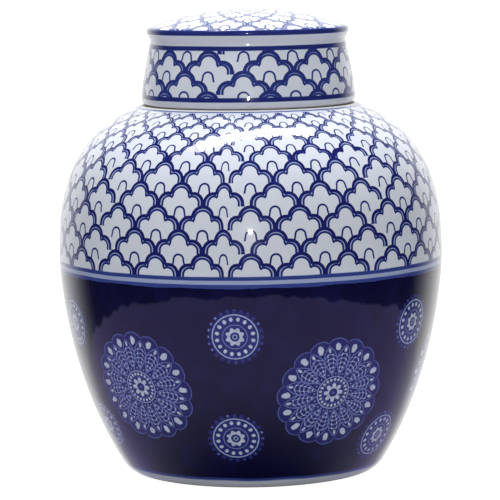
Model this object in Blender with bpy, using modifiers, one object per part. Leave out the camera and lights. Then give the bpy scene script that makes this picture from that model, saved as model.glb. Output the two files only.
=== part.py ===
"""Ginger jar: a turned porcelain body and the hollow cap lid that lifts off its neck.

Metres, +Z up. The jar stands on z = 0 and is turned about the Z axis.
"""

import math

import bpy
import numpy as np

# Foot: the flat ring that the jar stands on, and the shallow recess inside it.
FOOT_RADIUS = 0.0645
FOOT_WIDTH = 0.0060
FOOT_RECESS = 0.0040
FOOT_DRAFT = 0.0020
HEEL_FLARE = 0.0083
HEEL_HEIGHT = 0.0060

# Body: from the heel out to the belly, and in over the shoulder to the seat ledge.
BELLY_RADIUS = 0.1055
BELLY_HEIGHT = 0.1200
BODY_HEIGHT = 0.2015
BODY_WALL = 0.0045
BASE_THICKNESS = 0.0060
FLOOR_FILLET = 0.0080

# Neck: the collar that stands up inside the lid.
NECK_RADIUS = 0.0485
NECK_HEIGHT = 0.0270
NECK_WALL = 0.0040
NECK_ROOT_FILLET = 0.0050
LEDGE_MARGIN = 0.0007
LEDGE_ROUND = 0.0010

# Lid: a cap with a flaring skirt, a rolled bead and a shallow dome.
LID_PLAY = 0.0012
LID_WALL = 0.00375
LID_HEADROOM = 0.0075
SKIRT_FLARE = 0.00515
BEAD_OUTSTAND = 0.00185
BEAD_HEIGHT = 0.0082
BEAD_CREST = 0.0057
DOME_RISE = 0.0095
DOME_INSET = 0.0009
RIM_ROUND = 0.0026
RIM_ROUND_HEIGHT = 0.0036
RIM_CHAMFER = 0.0009
SEAT_GAP = 0.0003

# Direction and fullness of the Bezier curves: how far each handle goes along its curve's own run.
SHOULDER_SLOPE = math.radians(22.3)
SHOULDER_HANDLE_OUT = 0.857
BELLY_HANDLE_UP = 0.415
BELLY_HANDLE_DOWN = 0.133
WALL_HANDLE_OUT = 0.846
WALL_HANDLE_UP = 0.391
HEEL_HANDLE = (0.2, 0.5)
STANDING_HANDLE = (0.5, 0.125)
BEAD_HANDLE = 0.45
COVE_HANDLE = 0.4

# How finely the turned surfaces are cut.
TURN_STEPS = 64
LONG_CURVE_POINTS = 11
DOME_POINTS = 8
SHORT_CURVE_POINTS = 4
MERGE_DISTANCE = 0.00001
LEAST_STEP = 0.0010

COBALT = (0.022, 0.025, 0.165, 1.0)
WHITE_GLAZE = (0.72, 0.76, 0.82, 1.0)
GLAZE_ROUGHNESS = 0.15

# Sizes that follow from the driving ones.
HEEL_RADIUS = FOOT_RADIUS + HEEL_FLARE
FLOOR_HEIGHT = FOOT_RECESS + BASE_THICKNESS
LID_INNER_RADIUS = NECK_RADIUS + LID_PLAY
LID_COVE_RADIUS = LID_INNER_RADIUS + LID_WALL
LID_RIM_RADIUS = LID_COVE_RADIUS + SKIRT_FLARE
LID_BEAD_RADIUS = LID_COVE_RADIUS + BEAD_OUTSTAND
LID_SKIRT_HEIGHT = NECK_HEIGHT + LID_HEADROOM
LEDGE_RADIUS = LID_RIM_RADIUS + LEDGE_MARGIN
SHOULDER_RADIUS = LEDGE_RADIUS + LEDGE_ROUND
SHOULDER_HEIGHT = BODY_HEIGHT - LEDGE_ROUND * math.tan(SHOULDER_SLOPE)


def bezier(start, start_handle, end_handle, end, count):
    """Points of a cubic Bezier from start to end, both included, as (radius, height)."""
    points = []
    for step in range(count):
        t = step / (count - 1)
        s = 1 - t
        weights = (s**3, 3 * s * s * t, 3 * s * t * t, t**3)
        corners = (start, start_handle, end_handle, end)
        points.append(tuple(sum(w * c[axis] for w, c in zip(weights, corners)) for axis in (0, 1)))
    return points


def quarter(start, end, count, flat_start):
    """Points of a quarter ellipse from start to end. It leaves start level if flat_start, else upright."""
    points = []
    for step in range(count):
        angle = math.pi / 2 * step / (count - 1)
        slow = 1 - math.cos(angle)
        fast = math.sin(angle)
        along, rise = (fast, slow) if flat_start else (slow, fast)
        points.append(
            (start[0] + (end[0] - start[0]) * along, start[1] + (end[1] - start[1]) * rise)
        )
    return points


def set_in(points, wall):
    """The same curve moved to the right of its direction of travel by the wall's thickness."""
    moved = []
    last = len(points) - 1
    for index, (radius, height) in enumerate(points):
        before = points[max(index - 1, 0)]
        after = points[min(index + 1, last)]
        run = after[0] - before[0]
        rise = after[1] - before[1]
        length = math.hypot(run, rise)
        moved.append((radius + wall * rise / length, height - wall * run / length))
    return moved


def shoulder_curve():
    """The outer wall from the ledge's edge down to the belly."""
    reach = SHOULDER_HANDLE_OUT * (BELLY_RADIUS - SHOULDER_RADIUS)
    rise = BELLY_HANDLE_UP * (SHOULDER_HEIGHT - BELLY_HEIGHT)
    return bezier(
        (SHOULDER_RADIUS, SHOULDER_HEIGHT),
        (SHOULDER_RADIUS + reach, SHOULDER_HEIGHT - reach * math.tan(SHOULDER_SLOPE)),
        (BELLY_RADIUS, BELLY_HEIGHT + rise),
        (BELLY_RADIUS, BELLY_HEIGHT),
        LONG_CURVE_POINTS,
    )


def belly_curve():
    """The outer wall from the belly down to the heel."""
    width = BELLY_RADIUS - HEEL_RADIUS
    height = BELLY_HEIGHT - HEEL_HEIGHT
    return bezier(
        (BELLY_RADIUS, BELLY_HEIGHT),
        (BELLY_RADIUS, BELLY_HEIGHT - BELLY_HANDLE_DOWN * height),
        (HEEL_RADIUS + WALL_HANDLE_OUT * width, HEEL_HEIGHT + WALL_HANDLE_UP * height),
        (HEEL_RADIUS, HEEL_HEIGHT),
        LONG_CURVE_POINTS,
    )


def heel_curve():
    """The rounded heel, from the foot of the wall in to the standing ring."""
    return bezier(
        (HEEL_RADIUS, HEEL_HEIGHT),
        (HEEL_RADIUS - HEEL_HANDLE[0] * HEEL_FLARE, HEEL_HEIGHT - HEEL_HANDLE[1] * HEEL_HEIGHT),
        (FOOT_RADIUS + STANDING_HANDLE[0] * HEEL_FLARE, STANDING_HANDLE[1] * HEEL_HEIGHT),
        (FOOT_RADIUS, 0.0),
        SHORT_CURVE_POINTS,
    )


def neck_lip(outer, inner, top):
    """The half-round lip of the neck, from its inner face over to its outer face."""
    middle = (outer + inner) / 2
    half = (outer - inner) / 2
    rise = quarter((inner, top - half), (middle, top), SHORT_CURVE_POINTS, False)
    fall = quarter((middle, top), (outer, top - half), SHORT_CURVE_POINTS, True)
    return rise + fall[1:]


def radius_at(points, height):
    """The radius at which a wall, given from its lowest point up, reaches a height."""
    radii, heights = zip(*points)
    return float(np.interp(height, heights, radii))


def floor_fillet(inner_wall):
    """The rounded corner from the floor up to the inside of the wall."""
    corner = (radius_at(inner_wall, FLOOR_HEIGHT), FLOOR_HEIGHT)
    top_height = FLOOR_HEIGHT + FLOOR_FILLET
    top = (radius_at(inner_wall, top_height), top_height)
    return bezier((corner[0] - FLOOR_FILLET, FLOOR_HEIGHT), corner, corner, top, SHORT_CURVE_POINTS)


def body_profile():
    """The jar's half section: up the inside from the floor, over the lip and down the outside."""
    outer_wall = shoulder_curve() + belly_curve()[1:]
    inner_wall = set_in(outer_wall, BODY_WALL)[::-1]
    fillet = floor_fillet(inner_wall)
    bore = NECK_RADIUS - NECK_WALL
    ceiling = BODY_HEIGHT - BODY_WALL
    foot_inner = FOOT_RADIUS - FOOT_WIDTH

    profile = [(0.0, FLOOR_HEIGHT)]
    profile += fillet
    profile += [point for point in inner_wall if point[1] > fillet[-1][1] + LEAST_STEP]
    profile += quarter(
        (bore + NECK_ROOT_FILLET, ceiling),
        (bore, ceiling + NECK_ROOT_FILLET),
        SHORT_CURVE_POINTS,
        True,
    )
    profile += neck_lip(NECK_RADIUS, bore, BODY_HEIGHT + NECK_HEIGHT)
    profile += [(NECK_RADIUS, BODY_HEIGHT), (LEDGE_RADIUS, BODY_HEIGHT)]
    profile += outer_wall
    profile += heel_curve()[1:]
    profile += [(foot_inner, 0.0), (foot_inner - FOOT_DRAFT, FOOT_RECESS), (0.0, FOOT_RECESS)]
    return profile


def lid_dome(edge_radius, edge_height, rise):
    """A shallow spherical dome from the axis out to its edge."""
    sphere = (edge_radius**2 + rise**2) / (2 * rise)
    half_angle = math.asin(edge_radius / sphere)
    points = []
    for step in range(DOME_POINTS):
        angle = half_angle * step / (DOME_POINTS - 1)
        points.append((sphere * math.sin(angle), edge_height + rise - sphere * (1 - math.cos(angle))))
    return points


def lid_profile():
    """The lid's half section, with z = 0 at the bottom of its rim: down the outside and up the inside."""
    bead_crest = LID_SKIRT_HEIGHT + BEAD_CREST
    bead_top = LID_SKIRT_HEIGHT + BEAD_HEIGHT
    rim_inner = LID_INNER_RADIUS + SKIRT_FLARE
    rim_flat = LID_RIM_RADIUS - RIM_ROUND
    inner_edge = LID_INNER_RADIUS - BEAD_OUTSTAND

    profile = lid_dome(LID_COVE_RADIUS - DOME_INSET, bead_top, DOME_RISE)
    profile += quarter(profile[-1], (LID_BEAD_RADIUS, bead_crest), SHORT_CURVE_POINTS, True)[1:]
    profile += bezier(
        (LID_BEAD_RADIUS, bead_crest),
        (LID_BEAD_RADIUS, bead_crest - BEAD_HANDLE * BEAD_CREST),
        (LID_COVE_RADIUS, LID_SKIRT_HEIGHT + COVE_HANDLE * BEAD_CREST),
        (LID_COVE_RADIUS, LID_SKIRT_HEIGHT),
        SHORT_CURVE_POINTS,
    )[1:]
    profile += quarter((LID_RIM_RADIUS, RIM_ROUND_HEIGHT), (rim_flat, 0.0), SHORT_CURVE_POINTS, False)
    profile += [(rim_inner + RIM_CHAMFER, 0.0), (rim_inner, RIM_CHAMFER)]
    profile += quarter(
        (LID_INNER_RADIUS, LID_SKIRT_HEIGHT),
        (inner_edge, bead_top - LID_WALL),
        SHORT_CURVE_POINTS,
        False,
    )
    profile += reversed(lid_dome(inner_edge, bead_top - LID_WALL, DOME_RISE)[:-1])
    return profile


def glaze(name, color):
    """A glossy glazed-porcelain material."""
    material = bpy.data.materials.new(name)
    material.use_nodes = True
    shader = material.node_tree.nodes["Principled BSDF"]
    shader.inputs["Base Color"].default_value = color
    shader.inputs["Roughness"].default_value = GLAZE_ROUGHNESS
    shader.inputs["Metallic"].default_value = 0.0
    return material


def turned(name, profile, material, collection, height):
    """An object that turns a half section about the Z axis, with its origin on the axis at a height."""
    mesh = bpy.data.meshes.new(name)
    vertices = [(radius, 0.0, z) for radius, z in profile]
    edges = [(index, index + 1) for index in range(len(vertices) - 1)]
    mesh.from_pydata(vertices, edges, [])
    mesh.materials.append(material)
    piece = bpy.data.objects.new(name, mesh)
    piece.location = (0.0, 0.0, height)
    collection.objects.link(piece)
    screw = piece.modifiers.new("turn", "SCREW")
    screw.angle = math.tau
    screw.steps = TURN_STEPS
    screw.render_steps = TURN_STEPS
    screw.use_merge_vertices = True
    screw.merge_threshold = MERGE_DISTANCE
    screw.use_smooth_shade = True
    return piece


def main():
    """Clears the scene and builds the jar and its lid."""
    for item in list(bpy.data.objects):
        bpy.data.objects.remove(item, do_unlink=True)
    collection = bpy.data.collections.new("ginger_jar")
    bpy.context.scene.collection.children.link(collection)

    turned("jar_body", body_profile(), glaze("cobalt_glaze", COBALT), collection, 0.0)
    seat = BODY_HEIGHT + SEAT_GAP
    turned("lid", lid_profile(), glaze("white_glaze", WHITE_GLAZE), collection, seat)


main()
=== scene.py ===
"""Looks of a blue and white ginger jar: a turned porcelain body and the cap lid that lifts off its neck.

Metres, +Z up. The jar stands on z = 0 and both pieces are turned about the Z axis. Their decoration is
painted by the materials, from the angle round the axis and from the run down each piece's outline.
"""

import logging
import math
from dataclasses import dataclass, field
from enum import Enum
from typing import Callable, Union

import bpy
import numpy as np
from mathutils import Matrix, Vector, kdtree


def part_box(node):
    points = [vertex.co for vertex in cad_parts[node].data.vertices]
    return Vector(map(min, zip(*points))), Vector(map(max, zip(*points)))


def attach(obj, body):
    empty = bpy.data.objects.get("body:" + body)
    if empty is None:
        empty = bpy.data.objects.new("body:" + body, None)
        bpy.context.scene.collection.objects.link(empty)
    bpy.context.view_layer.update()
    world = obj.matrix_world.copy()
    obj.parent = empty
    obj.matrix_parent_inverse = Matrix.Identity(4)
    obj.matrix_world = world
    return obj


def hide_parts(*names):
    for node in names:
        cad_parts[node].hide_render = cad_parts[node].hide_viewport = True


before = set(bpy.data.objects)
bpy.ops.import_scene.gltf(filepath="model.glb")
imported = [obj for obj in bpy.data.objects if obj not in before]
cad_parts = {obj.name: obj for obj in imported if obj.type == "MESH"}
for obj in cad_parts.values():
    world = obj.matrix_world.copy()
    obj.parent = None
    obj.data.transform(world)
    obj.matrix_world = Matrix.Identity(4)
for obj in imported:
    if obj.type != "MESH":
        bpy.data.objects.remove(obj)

log = logging.getLogger("ginger_jar")

Point = tuple[float, float]
Colour = tuple[float, float, float, float]
Number = Union["Signal", float]

MM = 0.001
TURN_STEPS = 256
WELD = 0.000002
SHARP_EDGE = math.radians(50)
ARC_FULLNESS = 0.5523
UV_GAP = 0.006
WHITE = (1.0, 1.0, 1.0, 1.0)


class Zone(Enum):
    """The three surfaces of a fired piece, in the order of its material slots."""

    PAINTED = 0
    PLAIN_GLAZE = 1
    BARE = 2


# ---------------------------------------------------------------- turning


@dataclass(frozen=True)
class Stretch:
    """One stretch of a half section: a cubic Bezier between (radius, height) points, cut into steps."""

    start: Point
    start_handle: Point
    end_handle: Point
    end: Point
    steps: int

    def point(self, t: float) -> Point:
        """The point at t, from 0 at the start to 1 at the end."""
        s = 1 - t
        weights = (s**3, 3 * s * s * t, 3 * s * t * t, t**3)
        knots = (self.start, self.start_handle, self.end_handle, self.end)
        return tuple(sum(w * k[axis] for w, k in zip(weights, knots)) for axis in (0, 1))

    def drawn(self) -> bpy.types.Object:
        """Draws the stretch as a Bezier curve on the XZ plane and makes it a string of edges.

        Returns:
            The mesh object of the string.
        """
        bpy.ops.curve.primitive_bezier_curve_add()
        curve = bpy.context.object
        spline = curve.data.splines[0]
        spline.resolution_u = self.steps
        first, last = spline.bezier_points
        for knot in (first, last):
            knot.handle_left_type = "FREE"
            knot.handle_right_type = "FREE"
        first.co = first.handle_left = (self.start[0], 0.0, self.start[1])
        first.handle_right = (self.start_handle[0], 0.0, self.start_handle[1])
        last.handle_left = (self.end_handle[0], 0.0, self.end_handle[1])
        last.co = last.handle_right = (self.end[0], 0.0, self.end[1])
        bpy.ops.object.convert(target="MESH")
        return bpy.context.object


@dataclass
class HalfSection:
    """The outline of a turned piece, drawn stretch by stretch from one end to the other."""

    at: Point
    stretches: list[Stretch] = field(default_factory=list)

    def curve(self, start_handle: Point, end_handle: Point, end: Point, steps: int) -> None:
        """Adds a curved stretch with its own handles."""
        self.stretches.append(Stretch(self.at, start_handle, end_handle, end, steps))
        self.at = end

    def line(self, end: Point, steps: int = 1) -> None:
        """Adds a straight stretch."""
        (x0, y0), (x1, y1) = self.at, end
        self.curve(
            (x0 + (x1 - x0) / 3, y0 + (y1 - y0) / 3),
            (x1 - (x1 - x0) / 3, y1 - (y1 - y0) / 3),
            end,
            steps,
        )

    def corner(self, corner: Point, end: Point, steps: int) -> None:
        """Adds a rounded corner that leaves towards a corner point and arrives from it."""
        handles = [
            tuple(p + ARC_FULLNESS * (c - p) for p, c in zip(place, corner))
            for place in (self.at, end)
        ]
        self.curve(handles[0], handles[1], end, steps)

    def points(self) -> list[Point]:
        """Every vertex of the outline in order, as (radius, height)."""
        found = [self.stretches[0].start]
        for stretch in self.stretches:
            found += [stretch.point((k + 1) / stretch.steps) for k in range(stretch.steps)]
        return found

    def turned(self, name: str) -> bpy.types.Object:
        """Spins the outline about the Z axis into a closed shell with its faces pointing out.

        Args:
            name: the piece's name.

        Returns:
            The mesh object, at the origin.
        """
        strings = [stretch.drawn() for stretch in self.stretches]
        for string in strings:
            string.select_set(True)
        bpy.context.view_layer.objects.active = strings[0]
        bpy.ops.object.join()
        piece = bpy.context.object
        piece.name = name
        piece.data.name = name
        bpy.ops.object.mode_set(mode="EDIT")
        bpy.ops.mesh.select_all(action="SELECT")
        bpy.ops.mesh.remove_doubles(threshold=WELD)
        bpy.ops.mesh.spin(
            steps=TURN_STEPS, angle=math.tau, use_auto_merge=True, center=(0, 0, 0), axis=(0, 0, 1)
        )
        bpy.ops.mesh.select_all(action="SELECT")
        bpy.ops.mesh.remove_doubles(threshold=WELD)
        bpy.ops.mesh.normals_make_consistent(inside=False)
        bpy.ops.mesh.select_all(action="DESELECT")
        bpy.ops.object.mode_set(mode="OBJECT")
        bpy.ops.object.shade_smooth_by_angle(angle=SHARP_EDGE)
        piece.select_set(False)
        return piece


class Wrap:
    """Where each vertex and face corner of a turned piece lies: its turn, its run and its zone."""

    def __init__(self, piece: bpy.types.Object, section: HalfSection, zero: Point) -> None:
        """Reads a turned piece.

        Args:
            piece: the mesh object.
            section: the outline that it was turned from.
            zero: the outline's point where the run is 0; the run grows along the outline.
        """
        self.mesh = piece.data
        count = len(self.mesh.vertices)
        places = np.empty(count * 3)
        self.mesh.vertices.foreach_get("co", places)
        self.places = places.reshape(-1, 3)
        self.radius = np.hypot(self.places[:, 0], self.places[:, 1])
        self.turn = np.degrees(np.arctan2(self.places[:, 0], -self.places[:, 1]))

        outline = np.array(section.points())
        length = np.concatenate([[0], np.cumsum(np.hypot(*np.diff(outline, axis=0).T))])
        finder = kdtree.KDTree(len(outline))
        for index, (radius, height) in enumerate(outline):
            finder.insert((radius, height, 0), index)
        finder.balance()
        nearest = [
            finder.find((radius, height, 0))[1]
            for radius, height in zip(self.radius, self.places[:, 2])
        ]
        origin = finder.find((zero[0], zero[1], 0))[1]
        self.run = (length[nearest] - length[origin]) / MM

        corners = len(self.mesh.loops)
        self.corner_vertex = np.empty(corners, np.int32)
        self.mesh.loops.foreach_get("vertex_index", self.corner_vertex)
        sizes = np.empty(len(self.mesh.polygons), np.int32)
        self.mesh.polygons.foreach_get("loop_total", sizes)
        self.corner_face = np.repeat(np.arange(len(sizes)), sizes)
        self.face_run = np.bincount(self.corner_face, self.run[self.corner_vertex]) / sizes
        middle = [
            np.bincount(self.corner_face, self.places[self.corner_vertex, axis]) / sizes
            for axis in (0, 1)
        ]
        self.face_turn = np.degrees(np.arctan2(middle[0], -middle[1]))
        self.corner_run = self.run[self.corner_vertex]
        self.corner_radius = self.radius[self.corner_vertex]

    def corner_turn(self, about: np.ndarray) -> np.ndarray:
        """Each corner's turn from a face angle, in degrees, with no jump inside a face.

        Args:
            about: one angle for each face.

        Returns:
            The turn of each corner from that angle.
        """
        away = self.turn[self.corner_vertex] - about[self.corner_face]
        away = (away + 180) % 360 - 180
        on_axis = self.corner_radius < WELD * 10
        middle = (self.face_turn - about + 180) % 360 - 180
        return np.where(on_axis, middle[self.corner_face], away)

    def numbers(self, name: str, values: np.ndarray) -> None:
        """Stores one number for each vertex under a name."""
        attribute = self.mesh.attributes.new(name, "FLOAT", "POINT")
        attribute.data.foreach_set("value", values.astype(np.float32))

    def corner_vectors(self, name: str, values: np.ndarray) -> None:
        """Stores three numbers for each face corner under a name."""
        attribute = self.mesh.attributes.new(name, "FLOAT_VECTOR", "CORNER")
        attribute.data.foreach_set("vector", values.astype(np.float32).ravel())

    def map_faces(self, places: np.ndarray) -> None:
        """Gives the piece its flat map, with one place for each face corner."""
        layer = self.mesh.uv_layers.new(name="OFBake")
        layer.data.foreach_set("uv", places.astype(np.float32).ravel())

    def strip(self, faces: np.ndarray, floor: float, ceiling: float, halves: bool) -> np.ndarray:
        """Places for the corners of some faces: a strip across the map, or its front and back halves.

        Args:
            faces: True for each face that belongs to the strip.
            floor: the strip's lowest place on the map.
            ceiling: the strip's highest place on the map.
            halves: whether the back half is stacked on the front half.

        Returns:
            A place for each corner; only those of the chosen faces count.
        """
        low, high = self.face_run[faces].min(), self.face_run[faces].max()
        rise = (self.corner_run - low) / (high - low)
        rise = np.clip(rise, 0, 1) * (1 - 2 * UV_GAP) + UV_GAP
        back = np.abs(self.face_turn) > 90
        about = np.where(halves & back, 180.0, 0.0)
        width = 180 if halves else 360
        across = self.corner_turn(self.face_turn) + self._around(about)
        across = 0.5 + across / width * (1 - 2 * UV_GAP)
        if halves:
            rise = (rise + back[self.corner_face]) / 2
        return np.stack([across, floor + rise * (ceiling - floor)], axis=1)

    def _around(self, about: np.ndarray) -> np.ndarray:
        """Each corner's face angle from another angle, within half a turn either way."""
        return ((self.face_turn - about + 180) % 360 - 180)[self.corner_face]

    def disc(self, middle: Point, reach: float, inward: bool) -> np.ndarray:
        """Places for every corner on a disc round a point of the map.

        Args:
            middle: the disc's middle on the map.
            reach: the disc's radius on the map, at the run that is farthest from the axis.
            inward: whether the disc's middle is the end of the run and not its start.

        Returns:
            A place for each corner.
        """
        run = self.corner_run
        out = (run.max() - run) if inward else (run - run.min())
        angle = np.radians(self.turn[self.corner_vertex])
        return np.stack(
            [middle[0] + reach * out * np.sin(angle), middle[1] - reach * out * np.cos(angle)],
            axis=1,
        )

    def zones(self, rule: Callable[[float], Zone]) -> None:
        """Gives each face the material slot of its zone."""
        slots = np.array([rule(run).value for run in self.face_run], np.int32)
        self.mesh.polygons.foreach_set("material_index", slots)
        self.mesh.update()


# ---------------------------------------------------------------- node sums


class Signal:
    """A value on a node's output socket, which sums and patterns are made from."""

    def __init__(self, bench: "Bench", socket: bpy.types.NodeSocket) -> None:
        """Holds the socket and the bench that its node stands on."""
        self.bench = bench
        self.socket = socket

    def __add__(self, other: Number) -> "Signal":
        """The sum."""
        return self.bench.math("ADD", self, other)

    __radd__ = __add__

    def __sub__(self, other: Number) -> "Signal":
        """The difference."""
        return self.bench.math("SUBTRACT", self, other)

    def __rsub__(self, other: Number) -> "Signal":
        """The difference from a number."""
        return self.bench.math("SUBTRACT", other, self)

    def __mul__(self, other: Number) -> "Signal":
        """The product."""
        return self.bench.math("MULTIPLY", self, other)

    __rmul__ = __mul__

    def __truediv__(self, other: Number) -> "Signal":
        """The quotient."""
        return self.bench.math("DIVIDE", self, other)

    def __abs__(self) -> "Signal":
        """The size without its sign."""
        return self.bench.math("ABSOLUTE", self)


class Bench:
    """A node tree being wired, with short calls for the sums that patterns need."""

    def __init__(self, tree: bpy.types.NodeTree) -> None:
        """Starts with a tree."""
        self.tree = tree
        self.placed = 0

    def node(self, kind: str, **settings: object) -> bpy.types.Node:
        """Adds a node, set out in columns.

        Args:
            kind: the node's type.
            settings: the node's own properties.

        Returns:
            The node.
        """
        made = self.tree.nodes.new(kind)
        made.location = (200 * (self.placed // 8), -180 * (self.placed % 8))
        self.placed += 1
        for name, value in settings.items():
            setattr(made, name, value)
        return made

    def feed(self, socket: bpy.types.NodeSocket, value: object) -> None:
        """Links a signal to a socket, or sets the socket to a value."""
        if isinstance(value, Signal):
            self.tree.links.new(value.socket, socket)
        else:
            socket.default_value = value

    def math(self, operation: str, *values: Number) -> Signal:
        """The result of a Math node."""
        node = self.node("ShaderNodeMath", operation=operation)
        for socket, value in zip(node.inputs, values):
            self.feed(socket, value)
        return Signal(self, node.outputs[0])

    def least(self, *values: Number) -> Signal:
        """The smallest of some values."""
        found = values[0]
        for value in values[1:]:
            found = self.math("MINIMUM", found, value)
        return found

    def most(self, *values: Number) -> Signal:
        """The largest of some values."""
        found = values[0]
        for value in values[1:]:
            found = self.math("MAXIMUM", found, value)
        return found

    def length(self, across: Number, along: Number) -> Signal:
        """The length of a flat vector."""
        return self.math("SQRT", across * across + along * along)

    def ramp(self, value: Signal, start: Number, end: Number) -> Signal:
        """A smooth rise from 0 at start to 1 at end; start may be past end."""
        node = self.node("ShaderNodeMapRange", interpolation_type="SMOOTHSTEP")
        self.feed(node.inputs["Value"], value)
        self.feed(node.inputs["From Min"], start)
        self.feed(node.inputs["From Max"], end)
        return Signal(self, node.outputs["Result"])

    def stroke(self, away: Signal, half_width: float, soft: float) -> Signal:
        """A brush line: 1 where a distance is under half the line's width, with a soft edge."""
        return self.ramp(abs(away), half_width + soft, half_width - soft)

    def spot(self, away: Signal, radius: float, soft: float) -> Signal:
        """A filled spot: 1 where a distance is under the radius, with a soft edge."""
        return self.ramp(away, radius + soft, radius - soft)

    def between(self, value: Signal, low: Number, high: Number, soft: float) -> Signal:
        """A band: 1 from low to high, with soft edges."""
        rise = self.ramp(value, low - soft, low + soft)
        return rise * self.ramp(value, high + soft, high - soft)

    def blend(self, share: Number, first: Number, second: Number) -> Signal:
        """The first value where share is 0 and the second where it is 1."""
        node = self.node("ShaderNodeMix", data_type="FLOAT")
        self.feed(node.inputs[0], share)
        self.feed(node.inputs[2], first)
        self.feed(node.inputs[3], second)
        return Signal(self, node.outputs[0])

    def colour(self, share: Number, first: object, second: object, mode: str = "MIX") -> Signal:
        """The first colour where share is 0 and the second, mixed in by the mode, where it is 1."""
        node = self.node("ShaderNodeMix", data_type="RGBA", blend_type=mode)
        for name, value in zip(("Factor", "A", "B"), (share, first, second)):
            self.feed(node.inputs[name], value)
        return Signal(self, node.outputs["Result"])

    def colours(self, value: Signal, stops: dict[float, Colour]) -> Signal:
        """The colour at a value, from colours at stops between 0 and 1."""
        node = self.node("ShaderNodeValToRGB")
        elements = node.color_ramp.elements
        while len(elements) < len(stops):
            elements.new(0.5)
        for element, (position, colour) in zip(elements, stops.items()):
            element.position = position
            element.color = colour
        self.feed(node.inputs["Fac"], value)
        return Signal(self, node.outputs["Color"])

    def bumps(self, shader: bpy.types.Node, height: Signal) -> None:
        """Gives a shader bumps from a height in millimetres."""
        bump = self.node("ShaderNodeBump")
        bump.inputs["Strength"].default_value = 0.5
        bump.inputs["Distance"].default_value = MM
        self.feed(bump.inputs["Height"], height)
        self.tree.links.new(bump.outputs["Normal"], shader.inputs["Normal"])

    def attribute(self, name: str, output: str = "Fac") -> Signal:
        """One of the piece's own attributes."""
        return Signal(self, self.node("ShaderNodeAttribute", attribute_name=name).outputs[output])

    def place(self) -> Signal:
        """The place on the piece."""
        return Signal(self, self.node("ShaderNodeTexCoord").outputs["Object"])

    def split(self, vector: Signal) -> tuple[Signal, Signal, Signal]:
        """The three parts of a vector."""
        node = self.node("ShaderNodeSeparateXYZ")
        self.feed(node.inputs[0], vector)
        return tuple(Signal(self, output) for output in node.outputs)

    def noise(self, where: Signal, scale: float, detail: float = 2.0, rough: float = 0.5) -> Signal:
        """Cloudy noise from 0 to 1, with about scale patches to the metre."""
        node = self.node("ShaderNodeTexNoise")
        self.feed(node.inputs["Vector"], where)
        node.inputs["Scale"].default_value = scale
        node.inputs["Detail"].default_value = detail
        node.inputs["Roughness"].default_value = rough
        return Signal(self, node.outputs["Fac"])

    def turn(self) -> Signal:
        """The angle round the jar's axis in degrees: 0 at the front and growing to the right."""
        x, y, _ = self.split(self.place())
        return self.math("ARCTAN2", x, y * -1.0) * math.degrees(1)

    def group(self, tree: bpy.types.NodeTree, **values: object) -> dict[str, Signal]:
        """Places a node group and feeds its inputs.

        Args:
            tree: the group.
            values: a value for each input, by its name with spaces as underscores.

        Returns:
            The group's outputs by name.
        """
        node = self.node("ShaderNodeGroup", node_tree=tree)
        for name, value in values.items():
            self.feed(node.inputs[name.replace("_", " ").capitalize()], value)
        return {output.name: Signal(self, output) for output in node.outputs}


class GroupBench(Bench):
    """A bench for a node group with named inputs and outputs."""

    def __init__(self, name: str, inputs: dict[str, float]) -> None:
        """Makes an empty group.

        Args:
            name: the group's name.
            inputs: each input's name and usual value.
        """
        super().__init__(bpy.data.node_groups.new(name, "ShaderNodeTree"))
        for label, value in inputs.items():
            socket = self.tree.interface.new_socket(
                label, in_out="INPUT", socket_type="NodeSocketFloat"
            )
            socket.default_value = value
        self.entry = self.node("NodeGroupInput")

    def input(self, name: str) -> Signal:
        """One of the group's inputs."""
        return Signal(self, self.entry.outputs[name])

    def finish(self, outputs: dict[str, tuple[str, Signal]]) -> bpy.types.NodeTree:
        """Names the group's outputs and links them.

        Args:
            outputs: each output's name, with its socket type and signal.

        Returns:
            The finished group.
        """
        for label, (kind, _) in outputs.items():
            self.tree.interface.new_socket(label, in_out="OUTPUT", socket_type=kind)
        leave = self.node("NodeGroupOutput")
        for label, (_, signal) in outputs.items():
            self.feed(leave.inputs[label], signal)
        return self.tree


# ---------------------------------------------------------------- decoration


@dataclass(frozen=True)
class Cloud:
    """A three-lobed cloud outline: a top lobe, two side lobes and a heart that fills the middle.

    Sizes are in millimetres. `top` and `drop` are how far the top lobe's and the other lobes' middles lie
    below the top of the scale, and `side` is how far the side lobes' middles lie from its middle.
    """

    top: float
    top_radius: float
    side: float
    side_radius: float
    drop: float
    heart_radius: float

    def depth(self, bench: "Bench", across: "Signal", down: "Signal") -> "Signal":
        """How far a point is inside the outline.

        Args:
            bench: where the sums are made.
            across: distance from the cloud's middle.
            down: distance below the top of the scale.

        Returns:
            The depth, below 0 outside. Under the side lobes the outline runs straight down.
        """
        held = bench.least(down, self.drop)
        top = self.top_radius - bench.length(across, held - self.top)
        side = self.side_radius - bench.length(abs(across) - self.side, held - self.drop)
        heart = self.heart_radius - bench.length(across, held - self.drop)
        return bench.most(top, side, heart)


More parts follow.
